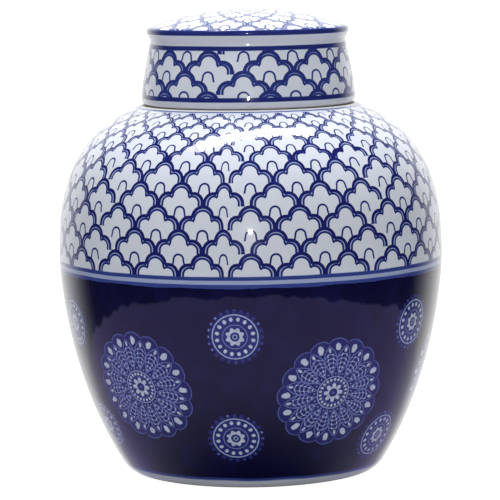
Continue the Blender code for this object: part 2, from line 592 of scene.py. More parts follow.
@dataclass(frozen=True)
class CloudScales:
    """The lattice of three-lobed cloud scales: rows of overlapping clouds, each row in front of the last.

    Sizes are in millimetres on a scale that is `pitch` wide, and shrink or grow with the scale.
    """

    pitch: float = 26.3
    outer: Cloud = Cloud(6.65, 6.65, 7.5, 6.0, 11.3, 8.9)
    inner: Cloud = Cloud(7.45, 4.65, 6.95, 3.6, 11.3, 6.0)
    line: float = 1.6
    inner_line: float = 1.0
    line_end: float = 12.7
    arch_top: float = 0.8
    arch_radius: float = 2.7
    arch_spread: float = 0.20
    arch_leg: float = 5.2
    soft: float = 0.16
    outer_ink: float = 0.90
    inner_ink: float = 0.88
    wash_ink: float = 0.32

    def arch(self, bench: Bench, across: Signal, down: Signal) -> Signal:
        """The small arch at a scale's heart, whose legs run down behind the next row."""
        below = bench.most(down - self.arch_radius, 0.0)
        bow = bench.length(across, bench.least(down - self.arch_radius, 0.0))
        away = bow - below * self.arch_spread - self.arch_radius
        ink = bench.stroke(away, self.inner_line / 2, self.soft)
        return ink * bench.ramp(down, self.arch_leg + 0.3, self.arch_leg)

    def group(self) -> bpy.types.NodeTree:
        """Builds the lattice as a node group.

        Inputs are Turn in degrees, Row (a whole number at each row's tops, growing downwards), Step (a
        row's height), Panel and Pitch in degrees (each transfer panel holds whole scales and a seam gap),
        Last (the last scale's number in a panel) and Weight (thickness of the lines).

        Returns:
            The group, whose Ink output is 0 on bare glaze and 1 in the dark lines.
        """
        inputs = {"Turn": 0, "Row": 0, "Step": 12.34, "Panel": 45, "Pitch": 14.35, "Last": 2, "Weight": 1}
        bench = GroupBench("cloud_scales", inputs)
        pitch = bench.input("Pitch")
        panel = bench.input("Panel")
        last = bench.input("Last")
        weight = bench.input("Weight")
        step = bench.input("Step")
        lead = (panel - pitch * last) / 2.0
        row = bench.input("Row")
        number = bench.math("FLOOR", row)
        odd = bench.math("FLOORED_MODULO", number, 2.0)

        def across(shift: Signal) -> Signal:
            """Distance from the nearest scale's middle, in a row shifted by some degrees."""
            along = bench.input("Turn") - shift
            held = bench.math("FLOORED_MODULO", along + lead, panel) - lead
            nearest = bench.math("ROUND", held / pitch)
            nearest = bench.most(bench.least(nearest, last), 0.0)
            return (held / pitch - nearest) * self.pitch

        near = across(odd * pitch / 2.0)
        far = across((1.0 - odd) * pitch / 2.0)
        near_down = (row - number) * step
        far_down = near_down + step
        near_depth = self.outer.depth(bench, near, near_down)
        in_front = bench.math("GREATER_THAN", near_depth, 0.0)
        far_depth = self.outer.depth(bench, far, far_down)
        depth = bench.blend(in_front, far_depth, near_depth)
        across_scale = bench.blend(in_front, far, near)
        down_scale = bench.blend(in_front, far_down, near_down)

        inner_depth = self.inner.depth(bench, across_scale, down_scale) / weight
        outer_line = bench.between(depth / weight, -0.3, self.line, self.soft)
        inner_line = bench.stroke(inner_depth, self.inner_line / 2, self.soft)
        wash = bench.ramp(inner_depth, 0.1, -0.1) * bench.ramp(depth, -0.1, 0.1) * self.wash_ink
        drawn = bench.most(outer_line * self.outer_ink, inner_line * self.inner_ink, wash)
        drawn = drawn * bench.ramp(down_scale, self.line_end + 0.4, self.line_end)
        arch = self.arch(bench, across_scale, down_scale - step - self.arch_top) * self.outer_ink
        return bench.finish({"Ink": ("NodeSocketFloat", bench.most(drawn, arch))})


@dataclass(frozen=True)
class Transfer:
    """How one transfer sheet is laid out.

    `step` is a row's height on a scale of the usual width, `panel` and `pitch` are the widths of a panel
    and of a scale in degrees, and `last` is the number of the last scale in a panel.
    """

    step: float
    panel: float
    pitch: float
    last: float
    ink: float = 1.0

    def drawn(
        self, bench: Bench, scales: bpy.types.NodeTree, turn: Signal, row: Signal, weight: Signal
    ) -> Signal:
        """The transfer's ink.

        Args:
            bench: where the sums are made.
            scales: the node group of the lattice.
            turn: the angle round the jar in degrees.
            row: which row of scales the place is in.
            weight: thickness of the lines, where 1 is usual.

        Returns:
            The depth of ink.
        """
        size = {"step": self.step, "panel": self.panel, "pitch": self.pitch, "last": self.last}
        return bench.group(scales, turn=turn, row=row, weight=weight, **size)["Ink"] * self.ink


@dataclass(frozen=True)
class Band:
    """A ruled band of cobalt between two runs in millimetres."""

    low: float
    high: float
    ink: float
    soft: float = 0.3

    def drawn(self, bench: Bench, run: Signal) -> Signal:
        """The band's ink at a run."""
        return bench.between(run, self.low, self.high, self.soft) * self.ink


@dataclass(frozen=True)
class CobaltAndGlaze:
    """Cobalt painting under a clear glaze: the colour that each depth of ink fires to."""

    bare: Colour = (0.685, 0.722, 0.800, 1.0)
    pale: Colour = (0.300, 0.370, 0.590, 1.0)
    light: Colour = (0.090, 0.130, 0.420, 1.0)
    middle: Colour = (0.038, 0.062, 0.270, 1.0)
    navy: Colour = (0.0125, 0.0145, 0.135, 1.0)
    dark: Colour = (0.0030, 0.0029, 0.034, 1.0)
    least_grain: float = 0.12

    @property
    def stops(self) -> dict[float, Colour]:
        """The colour at each depth of ink."""
        return {
            0.0: self.bare,
            0.35: self.pale,
            0.58: self.light,
            0.75: self.middle,
            0.9: self.navy,
            1.0: self.dark,
        }

    def group(self) -> bpy.types.NodeTree:
        """Builds the node group that turns Ink into a colour, with the brush's and the glaze's unevenness.

        Returns:
            The group, whose output is Color.
        """
        bench = GroupBench("cobalt_and_glaze", {"Ink": 0.0})
        place = bench.place()
        ink = bench.input("Ink")
        cloudy = bench.noise(place, 90.0, 3.0) - 0.5
        grain = bench.noise(place, 900.0, 1.0) - 0.5
        thin = bench.most(1.0 - ink, self.least_grain)
        uneven = ink * (1.0 + cloudy * 0.08) + grain * thin * 0.12
        wash = bench.noise(place, 14.0, 2.0)
        pooled = bench.node("ShaderNodeCombineColor")
        bench.feed(pooled.inputs["Red"], 0.955 + wash * 0.06)
        bench.feed(pooled.inputs["Green"], 0.97 + wash * 0.04)
        bench.feed(pooled.inputs["Blue"], 0.99 + wash * 0.02)
        fired = bench.colours(uneven, self.stops)
        colour = bench.colour(1.0, fired, Signal(bench, pooled.outputs["Color"]), "MULTIPLY")
        return bench.finish({"Color": ("NodeSocketColor", colour)})


@dataclass(frozen=True)
class GlazeSkin:
    """The skin of a fired glaze: faint orange peel, turning rings, smudges and a few pinholes."""

    peel: float = 260.0
    peel_height: float = 0.010
    smudge: float = 22.0
    rings: float = 900.0
    ring_height: float = 0.003
    pinholes: float = 160.0
    pinhole_depth: float = 0.05

    def group(self) -> bpy.types.NodeTree:
        """Builds the node group.

        Returns:
            The group, with the outputs Roughness and Height in millimetres.
        """
        bench = GroupBench("glaze_skin", {"Roughness": 0.1})
        place = bench.place()
        _, _, height = bench.split(place)
        smudge = bench.noise(place, self.smudge, 4.0, 0.6)
        rough = bench.input("Roughness") * (0.75 + smudge * 0.5)
        peel = (bench.noise(place, self.peel, 1.0) - 0.5) * self.peel_height
        slow = bench.noise(place, 30.0, 1.0) - 0.5
        rings = bench.math("SINE", height * self.rings + slow * 6.0) * self.ring_height
        cells = bench.node("ShaderNodeTexVoronoi", feature="F1")
        bench.feed(cells.inputs["Vector"], place)
        cells.inputs["Scale"].default_value = self.pinholes
        chance, _, _ = bench.split(Signal(bench, cells.outputs["Color"]))
        rare = bench.math("GREATER_THAN", chance, 0.985)
        pinhole = bench.spot(Signal(bench, cells.outputs["Distance"]), 0.05, 0.02) * rare
        return bench.finish(
            {
                "Roughness": ("NodeSocketFloat", rough + pinhole * 0.3),
                "Height": ("NodeSocketFloat", peel + rings - pinhole * self.pinhole_depth),
            }
        )


@dataclass(frozen=True)
class Medallion:
    """A round lace medallion held in white on the cobalt ground; its middle is at a turn and a run."""

    turn: float
    run: float
    large: bool


@dataclass(frozen=True)
class Polar:
    """A place on a medallion: its distance from the middle in millimetres and its angle in degrees."""

    bench: Bench
    away: Signal
    angle: Signal

    def off_spoke(self, count: int, shift: float) -> Signal:
        """Distance along the arc from the nearest of some spokes.

        Args:
            count: how many spokes there are.
            shift: the first spoke's place, as a share of the step between two.

        Returns:
            The distance, with its sign.
        """
        step = 360.0 / count
        along = self.bench.math("FLOORED_MODULO", self.angle + step * (0.5 - shift), step)
        return self.away * (along - step / 2) * math.radians(1)


@dataclass(frozen=True)
class Ring:
    """A thin ring of white: its radius and half its line's width in millimetres."""

    radius: float
    half_width: float
    white: float

    def drawn(self, at: Polar, soft: float) -> Signal:
        """The ring's white at a place."""
        return at.bench.stroke(at.away - self.radius, self.half_width, soft) * self.white


@dataclass(frozen=True)
class Beads:
    """A ring of oval beads, each twice `long` along the radius and twice `wide` across it."""

    count: int
    shift: float
    radius: float
    long: float
    wide: float
    white: float = 1.0

    def drawn(self, at: Polar) -> Signal:
        """The beads' white at a place."""
        across = at.off_spoke(self.count, self.shift) / self.wide
        reach = at.bench.length((at.away - self.radius) / self.long, across)
        return at.bench.ramp(reach, 1.25, 0.8) * self.white


@dataclass(frozen=True)
class SmallLace:
    """The small medallion: rings and beads round a star, in millimetres from the middle."""

    rings: tuple[Ring, ...] = (Ring(12.0, 0.32, 0.85), Ring(6.5, 0.2, 0.6), Ring(1.1, 0.3, 0.75))
    beads: Beads = Beads(16, 0.5, 9.6, 1.1, 0.95)
    fringe: Beads = Beads(24, 0.0, 13.9, 1.3, 1.25)
    flecks: Beads = Beads(24, 0.0, 14.3, 0.45, 0.6, 0.6)
    star_points: int = 8
    star_tooth: float = 0.6
    star_radius: float = 4.55
    star_hole: float = 2.5
    star_white: float = 0.95
    edge: float = 12.9
    soft: float = 0.2

    def drawn(self, at: Polar, ragged: Signal) -> tuple[Signal, Signal]:
        """Draws the medallion.

        Args:
            at: the place on the medallion.
            ragged: noise from -0.5 to 0.5 that scatters the flecks round the rim.

        Returns:
            The white drawing and the blue ground behind it.
        """
        bench = at.bench
        tooth = bench.math("COSINE", at.angle * math.radians(self.star_points)) * self.star_tooth
        star = bench.spot(at.away + tooth, self.star_radius, 0.25)
        star = star * bench.ramp(at.away, self.star_hole - self.soft, self.star_hole + self.soft)
        flecks = self.flecks.drawn(at) * bench.ramp(ragged, 0.02, 0.12)
        rings = [ring.drawn(at, self.soft) for ring in self.rings]
        drawing = bench.most(*rings, self.beads.drawn(at), star * self.star_white, flecks)
        ground = bench.most(bench.spot(at.away, self.edge, 0.3), self.fringe.drawn(at))
        return drawing, ground


@dataclass(frozen=True)
class LargeLace:
    """The large medallion: latticed petals in a scalloped edge, in millimetres from the middle."""

    petals: int = 16
    petal_start: float = 9.8
    petal_length: float = 17.6
    petal_half_width: float = 3.7
    petal_white: float = 0.52
    lattice_start: float = 11.8
    lattice_end: float = 23.0
    lattice_white: float = 0.6
    rib: float = 0.42
    rung: float = 2.55
    rung_bow: float = 0.16
    blob_radius: float = 26.3
    blob_long: float = 2.3
    blob_wide: float = 1.6
    scallop_start: float = 28.3
    scallop: float = 2.7
    edge_white: float = 0.48
    rings: tuple[Ring, ...] = (
        Ring(9.2, 0.3, 0.75),
        Ring(6.1, 0.14, 0.45),
        Ring(3.0, 0.6, 0.9),
    )
    beads: tuple[Beads, ...] = (
        Beads(16, 0.5, 24.7, 1.35, 0.72, 0.95),
        Beads(16, 0.0, 11.0, 0.5, 0.45, 0.6),
        Beads(22, 0.0, 7.6, 0.85, 0.72, 0.9),
        Beads(8, 0.0, 4.3, 1.25, 1.15),
    )
    soft: float = 0.2

    def petal(self, at: Polar, ragged: Signal) -> Signal:
        """A petal's outline and the lattice of ribs and bowed rungs inside it."""
        bench = at.bench
        off = at.off_spoke(self.petals, 0.5)
        share = bench.math("DIVIDE", at.away - self.petal_start, self.petal_length)
        share = bench.most(bench.least(share, 1.0), 0.0)
        swell = bench.math("SINE", bench.math("POWER", share, 1.25) * math.pi)
        half_width = swell * self.petal_half_width
        inside = half_width - abs(off)
        end = self.petal_start + self.petal_length - 0.1
        outline = bench.stroke(inside, 0.28, self.soft) * bench.between(at.away, self.petal_start, end, 0.3)
        bowed = at.away + off * off * self.rung_bow + ragged * 0.5
        rungs = bench.math("FLOORED_MODULO", bowed - 11.0, self.rung) - self.rung / 2
        ribs = abs(abs(off) - half_width * self.rib)
        lattice = bench.stroke(ribs, 0.22, self.soft) + bench.stroke(rungs, 0.34, self.soft)
        lattice = lattice * self.lattice_white
        lattice = lattice * bench.between(at.away, self.lattice_start, self.lattice_end, 0.4)
        lattice = bench.least(lattice, 1.0) * bench.ramp(inside, -0.1, 0.2)
        return bench.most(outline * self.petal_white, lattice)

    def drawn(self, at: Polar, ragged: Signal) -> tuple[Signal, Signal]:
        """Draws the medallion.

        Args:
            at: the place on the medallion.
            ragged: noise from -0.5 to 0.5 that roughens the blobs and the rungs.

        Returns:
            The white drawing and the blue ground behind it.
        """
        bench = at.bench
        scallop = abs(bench.math("COSINE", at.angle * math.radians(self.petals / 2)))
        edge = self.scallop_start + bench.math("POWER", scallop, 0.6) * self.scallop
        blob = at.off_spoke(self.petals, 0.0) / self.blob_wide
        blobs = bench.length((at.away - self.blob_radius) / self.blob_long, blob) + ragged * 1.2
        drawing = bench.most(
            self.petal(at, ragged),
            bench.ramp(blobs, 1.15, 0.85),
            bench.stroke(at.away - edge, 0.24, self.soft) * self.edge_white,
            bench.spot(at.away, 0.7, 0.4) * 0.45,
            *[ring.drawn(at, self.soft) for ring in self.rings],
            *[beads.drawn(at) for beads in self.beads],
        )
        return drawing, bench.ramp(at.away - edge, 0.3, -0.3)


class Paints:
    """The shared node groups and materials of both pieces."""

    coat_roughness = 0.03
    plain_roughness = 0.32
    painted_roughness = 0.24
    porcelain: Colour = (0.66, 0.655, 0.63, 1.0)
    soil: Colour = (0.40, 0.36, 0.30, 1.0)

    def __init__(self) -> None:
        """Builds the groups once."""
        self.scales = CloudScales().group()
        self.cobalt = CobaltAndGlaze().group()
        self.skin = GlazeSkin().group()

    def blank(self, name: str) -> tuple[bpy.types.Material, Bench, bpy.types.Node]:
        """A new material, a bench for its nodes and its shader."""
        material = bpy.data.materials.new(name)
        material.use_nodes = True
        return material, Bench(material.node_tree), material.node_tree.nodes["Principled BSDF"]

    def glazed(self, bench: Bench, shader: bpy.types.Node, ink: Signal, roughness: float) -> None:
        """Wires a glazed finish.

        Args:
            bench: the material's bench.
            shader: the material's shader.
            ink: the depth of cobalt, from 0 to 1.
            roughness: the glaze's usual roughness.
        """
        cobalt = bench.group(self.cobalt, ink=ink)
        skin = bench.group(self.skin, roughness=roughness)
        bench.feed(shader.inputs["Base Color"], cobalt["Color"])
        bench.feed(shader.inputs["Roughness"], skin["Roughness"])
        bench.bumps(shader, skin["Height"] + ink * 0.01)
        shader.inputs["IOR"].default_value = 1.5
        shader.inputs["Specular IOR Level"].default_value = 0.1
        shader.inputs["Coat Weight"].default_value = 1.0
        shader.inputs["Coat Roughness"].default_value = self.coat_roughness
        shader.inputs["Coat IOR"].default_value = 1.5

    def plain(self) -> bpy.types.Material:
        """Clear glaze over white porcelain, as inside the jar and the lid."""
        material, bench, shader = self.blank("plain_glaze")
        pooled = bench.noise(bench.place(), 35.0, 3.0) - 0.5
        self.glazed(bench, shader, bench.most(pooled * 0.12, 0.0), self.plain_roughness)
        return material

    def bare(self) -> bpy.types.Material:
        """Unglazed porcelain: chalky, fine-grained and a little soiled where the pieces rub."""
        material, bench, shader = self.blank("bare_porcelain")
        place = bench.place()
        grain = bench.noise(place, 1400.0, 2.0)
        soil = bench.noise(place, 60.0, 4.0, 0.65)
        share = bench.ramp(soil, 0.5, 0.75) * 0.5 + grain * 0.15
        bench.feed(shader.inputs["Base Color"], bench.colour(share, self.porcelain, self.soil))
        bench.feed(shader.inputs["Roughness"], 0.62 + soil * 0.25)
        bench.bumps(shader, grain * 0.06 + soil * 0.03)
        return material

    def dress(
        self,
        piece: bpy.types.Object,
        wrap: Wrap,
        painted: bpy.types.Material,
        zone: Callable[[float], Zone],
    ) -> None:
        """Gives a piece its three finishes and stores the run that the painted one reads.

        Args:
            piece: the mesh object.
            wrap: where its vertices and faces lie.
            painted: its painted finish.
            zone: which surface a run belongs to.
        """
        for material in (painted, self.plain(), self.bare()):
            piece.data.materials.append(material)
        wrap.zones(zone)
        wrap.numbers("run", wrap.run)


# ---------------------------------------------------------------- the jar's body


@dataclass
class JarBody:
    """The jar below its lid: foot ring, belly, shoulder, seat ledge and neck, one fired shell.

    The outline's sizes are in metres. Everything painted is placed by its run, in millimetres down the
    wall from the ledge, and by its turn, in degrees to the right of the front.
    """

    paints: Paints
    foot_radius: float = 0.0645
    foot_width: float = 0.0060
    foot_recess: float = 0.0040
    foot_round: float = 0.0007
    foot_edge: float = 0.0006
    heel_radius: float = 0.0728
    heel_height: float = 0.0060
    belly_height: float = 0.1200
    wall: float = 0.0045
    floor_height: float = 0.0100
    ledge_radius: float = 0.0593
    ledge_round: float = 0.0010
    ledge_height: float = 0.2015
    shoulder_slope: float = math.radians(22.3)
    neck_radius: float = 0.0485
    neck_wall: float = 0.0040
    neck_root: float = 0.0050
    neck_fillet: float = 0.0012
    belly_to_shoulder: Point = (0.857, 0.415)
    belly_to_heel: Point = (0.846, 0.391)
    belly_drop: float = 0.133
    sheet_join: float = 39.4
    sheet_row: float = 12.4
    shoulder_row: float = 10.5
    shoulder_row_growth: float = 0.4
    paint_end: float = 226.0
    foot_end: float = 238.5
    ledge_run: float = -11.0
    panel_slip: float = 2.5
    sheet: Transfer = Transfer(12.34, 45.0, 14.35, 2.0)
    sheet_top: float = 2.4
    sheet_end: float = 101.6
    collar: float = 1.1
    bands: tuple[Band, ...] = (
        Band(101.3, 103.4, 0.77, 0.35),
        Band(103.2, 105.4, 0.30, 0.4),
        Band(105.3, 108.0, 0.74, 0.4),
    )
    ground_start: float = 107.2
    ground_ragged: float = 2.4
    ground_end: float = 219.0
    fade_start: float = 215.0
    fade_end: float = 220.7
    small_ground: float = 0.860
    large_ground: float = 0.905
    small_lace: SmallLace = SmallLace()
    large_lace: LargeLace = LargeLace()
    small_reach: float = 15.0
    large_reach: float = 31.0
    painted_radius: float = 95.0
    front_medallions: tuple[Medallion, ...] = (
        Medallion(-69.0, 133.3, False),
        Medallion(-66.5, 192.2, False),
        Medallion(-38.5, 164.0, True),
        Medallion(-5.0, 133.3, False),
        Medallion(-6.2, 192.2, False),
        Medallion(26.7, 167.0, True),
        Medallion(57.2, 133.0, False),
        Medallion(53.2, 198.0, False),
        Medallion(85.2, 164.0, True),
    )

    def __post_init__(self) -> None:
        """Takes the overall sizes from the frame."""
        low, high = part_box("jar_body")
        self.belly_radius = (high.x - low.x) / 2
        self.height = high.z

    @property
    def shoulder(self) -> Point:
        """The top of the painted wall, where the run is 0."""
        drop = self.ledge_round * math.tan(self.shoulder_slope)
        return (self.ledge_radius + self.ledge_round, self.ledge_height - drop)

    def section(self) -> HalfSection:
        """The half section, from the middle of the floor inside to the middle of the recess below."""
        wall, root = self.wall, self.neck_root
        bore = self.neck_radius - self.neck_wall
        ceiling = self.ledge_height - wall
        belly, waist = self.belly_radius, self.belly_height
        top_radius, top_height = self.shoulder

        half = HalfSection((0.0, self.floor_height))
        half.line((0.050, self.floor_height), 8)
        half.curve((0.0655, self.floor_height), (0.0735, 0.0135), (0.0775, 0.0230), 10)
        half.curve((0.0905, 0.0530), (belly - wall, 0.0990), (belly - wall, waist), 22)
        half.curve((belly - wall, 0.1520), (0.0945, 0.1820), (bore + root + 0.010, ceiling - 0.0025), 22)
        half.curve(
            (bore + root + 0.004, ceiling - 0.0002),
            (bore, ceiling + 0.0008),
            (bore, ceiling + root + 0.001),
            8,
        )
        half.line((bore, self.height - self.neck_wall / 2), 6)
        half.corner((bore, self.height), (self.neck_radius - self.neck_wall / 2, self.height), 5)
        half.corner(
            (self.neck_radius, self.height), (self.neck_radius, self.height - self.neck_wall / 2), 5
        )
        half.line((self.neck_radius, self.ledge_height + self.neck_fillet), 6)
        half.corner(
            (self.neck_radius, self.ledge_height),
            (self.neck_radius + self.neck_fillet, self.ledge_height),
            4,
        )
        half.line((self.ledge_radius - 0.0004, self.ledge_height), 3)
        half.corner((self.ledge_radius + 0.0003, self.ledge_height), self.shoulder, 3)
        reach = self.belly_to_shoulder[0] * (belly - top_radius)
        rise = self.belly_to_shoulder[1] * (top_height - waist)
        half.curve(
            (top_radius + reach, top_height - reach * math.tan(self.shoulder_slope)),
            (belly, waist + rise),
            (belly, waist),
            52,
        )
        reach = self.belly_to_heel[0] * (belly - self.heel_radius)
        rise = waist - self.heel_height
        half.curve(
            (belly, waist - self.belly_drop * rise),
            (self.heel_radius + reach, self.heel_height + self.belly_to_heel[1] * rise),
            (self.heel_radius, self.heel_height),
            52,
        )
        half.curve(
            (self.heel_radius - 0.0017, self.heel_height - 0.0030),
            (self.foot_radius + 0.0041, 0.00075),
            (self.foot_radius + self.foot_edge, self.foot_edge / 5),
            7,
        )
        inner = self.foot_radius - self.foot_width
        half.corner((self.foot_radius, 0.0), (self.foot_radius - self.foot_round, 0.0), 3)
        half.line((inner + self.foot_round, 0.0), 3)
        half.corner((inner, 0.0), (inner - 0.0003, self.foot_round), 4)
        half.line((inner - 0.0014, self.foot_recess - 0.0016), 2)
        half.corner((inner - 0.0020, self.foot_recess), (inner - 0.0040, self.foot_recess), 5)
        half.line((0.0, self.foot_recess), 8)
        return half

    def row(self, run: np.ndarray) -> np.ndarray:
        """Which row of scales each run down the wall falls in: whole numbers at the rows' tops.

        Args:
            run: millimetres down the wall from the ledge.

        Returns:
            The row, 0 at the join of the two transfer sheets and growing downwards.
        """
        below = (run - self.sheet_join) / self.sheet_row
        back = np.maximum(self.sheet_join - run, 0)
        growth, first = self.shoulder_row_growth, self.shoulder_row
        root = np.sqrt(np.maximum(first**2 - 4 * growth * back, 0))
        above = -(first - root) / (2 * growth)
        return np.where(run > self.sheet_join, below, above)

    def medallions(self) -> list[Medallion]:
        """The medallions round the jar: columns of one large or two small ones, in turn."""
        made = list(self.front_medallions)
        first, last = made[0].turn, made[-1].turn
        step = (360 - (last - first)) / 7
        for index in range(6):
            turn = last + step * (index + 1)
            if index % 2:
                made.append(Medallion(turn, 164.0, True))
            else:
                made.append(Medallion(turn, 133.3, False))
                made.append(Medallion(turn - 1.2, 193.5, False))
        return made

    def lay_medallions(self, wrap: Wrap) -> None:
        """Gives each face corner its place on the nearest medallion, in millimetres, and that one's size."""
        made = self.medallions()
        middles = np.array([(m.turn, m.run) for m in made])
        around = (wrap.face_turn[:, None] - middles[:, 0] + 180) % 360 - 180
        arc = around * math.radians(self.painted_radius)
        gap = np.hypot(arc, wrap.face_run[:, None] - middles[:, 1])
        gap = gap - np.array([self.large_reach if m.large else self.small_reach for m in made])
        nearest = gap.argmin(axis=1)
        across = wrap.corner_turn(middles[nearest, 0])
        sizes = np.array([float(m.large) for m in made])
        x = np.radians(across) * wrap.corner_radius / MM
        y = wrap.corner_run - middles[nearest, 1][wrap.corner_face]
        large = sizes[nearest][wrap.corner_face]
        wrap.corner_vectors("medallion", np.stack([x, y, large], axis=1))

    def scales(self, bench: Bench, run: Signal, drift: Signal) -> Signal:
        """The ink of the cloud scales, with a slipped panel and smudges at the join of the sheets.

        Args:
            bench: the material's bench.
            run: millimetres down the wall from the ledge.
            drift: slow noise from -0.5 to 0.5.

        Returns:
            The depth of ink.
        """
        turn = bench.turn()
        wobble = bench.noise(bench.place(), 240.0, 1.0) - 0.5
        blotch = bench.ramp(bench.noise(bench.place(), 75.0, 1.0), 0.55, 0.7)
        join = bench.between(run, self.sheet_join - 6, self.sheet_join + 1, 1.5)
        thick = bench.ramp(run, 15.0, 70.0)
        slipped = bench.ramp(turn, -3.0, -12.0) * bench.ramp(turn, -120.0, -60.0)
        turn = turn - slipped * self.panel_slip + drift * 0.35
        row = bench.attribute("row") + drift * 0.03
        weight = 1.0 + thick * 0.13 + wobble * 0.16 + blotch * join * 0.7
        ink = self.sheet.drawn(bench, self.paints.scales, turn, row, weight)
        return ink * bench.between(run, self.sheet_top, self.sheet_end, 0.25)

    def ground(self, bench: Bench, run: Signal, drift: Signal) -> Signal:
        """The ink of the dark ground, with the medallions held in white.

        Args:
            bench: the material's bench.
            run: millimetres down the wall from the ledge.
            drift: slow noise from -0.5 to 0.5.

        Returns:
            The depth of ink.
        """
        place = bench.place()
        start = self.ground_start + (bench.noise(place, 60.0, 2.0) - 0.5) * self.ground_ragged
        deep = bench.between(run, start, self.ground_end + drift * 1.2, 0.3)
        fade = bench.between(run, self.fade_start, self.fade_end + drift * 1.5, 0.9)
        ground = bench.most(deep * (0.996 + drift * 0.03), fade * 0.76)

        across, down, large = bench.split(bench.attribute("medallion", "Vector"))
        rough = bench.noise(place, 420.0, 2.0) - 0.5
        away = bench.length(across, down) * (1.0 + drift * 0.05) + rough * 0.45
        angle = bench.math("ARCTAN2", across, down * -1.0) * math.degrees(1)
        at = Polar(bench, away, angle)
        small_white, small_disc = self.small_lace.drawn(at, rough)
        large_white, large_disc = self.large_lace.drawn(at, rough)
        white = bench.blend(large, small_white, large_white)
        disc = bench.blend(large, small_disc, large_disc)
        inside = bench.blend(large, self.small_ground, self.large_ground) + rough * 0.05
        ground = bench.blend(disc * deep, ground, inside)
        return ground * (1.0 - white * deep * (0.86 + rough * 0.5))

    def paint(self) -> bpy.types.Material:
        """The painted outside: cloud scales above, a dark cobalt ground with lace medallions below."""
        material, bench, shader = self.paints.blank("painted_body_glaze")
        run = bench.attribute("run")
        drift = bench.noise(bench.place(), 45.0, 1.0) - 0.5
        edge = run + drift * 0.5
        ink = bench.most(
            self.scales(bench, run, drift),
            bench.stroke(run - self.collar + drift * 0.3, 0.65, 0.35) * 0.72,
            *[band.drawn(bench, edge) for band in self.bands],
            self.ground(bench, run, drift),
        )
        self.paints.glazed(bench, shader, ink, self.paints.painted_roughness)
        return material

    def zone(self, run: float) -> Zone:
        """Which surface a run along the section belongs to."""
        if run > self.paint_end or self.ledge_run < run < 0.0:
            return Zone.BARE if run < self.foot_end else Zone.PLAIN_GLAZE
        return Zone.PAINTED if run > 0.0 else Zone.PLAIN_GLAZE

    def build(self) -> bpy.types.Object:
        """Turns, marks and dresses the body.

        Returns:
            The piece `jar_shell`.
        """
        section = self.section()
        piece = section.turned("jar_shell")
        wrap = Wrap(piece, section, self.shoulder)
        self.paints.dress(piece, wrap, self.paint(), self.zone)
        wrap.numbers("row", self.row(wrap.run))
        self.lay_medallions(wrap)
        outside = (wrap.face_run > 0) & (wrap.face_run < self.paint_end)
        inside = wrap.face_run <= 0
        walls = wrap.strip(outside, 0.0, 0.80, True)
        bore = wrap.strip(inside, 0.80, 0.94, False)
        foot = wrap.strip(~outside & ~inside, 0.94, 1.0, False)
        on_walls = outside[wrap.corner_face][:, None]
        in_bore = inside[wrap.corner_face][:, None]
        wrap.map_faces(np.where(on_walls, walls, np.where(in_bore, bore, foot)))
        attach(piece, "jar_body")
        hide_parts("jar_body")
        log.info("%s: %d faces", piece.name, len(piece.data.polygons))
        return piece


# ---------------------------------------------------------------- the lid


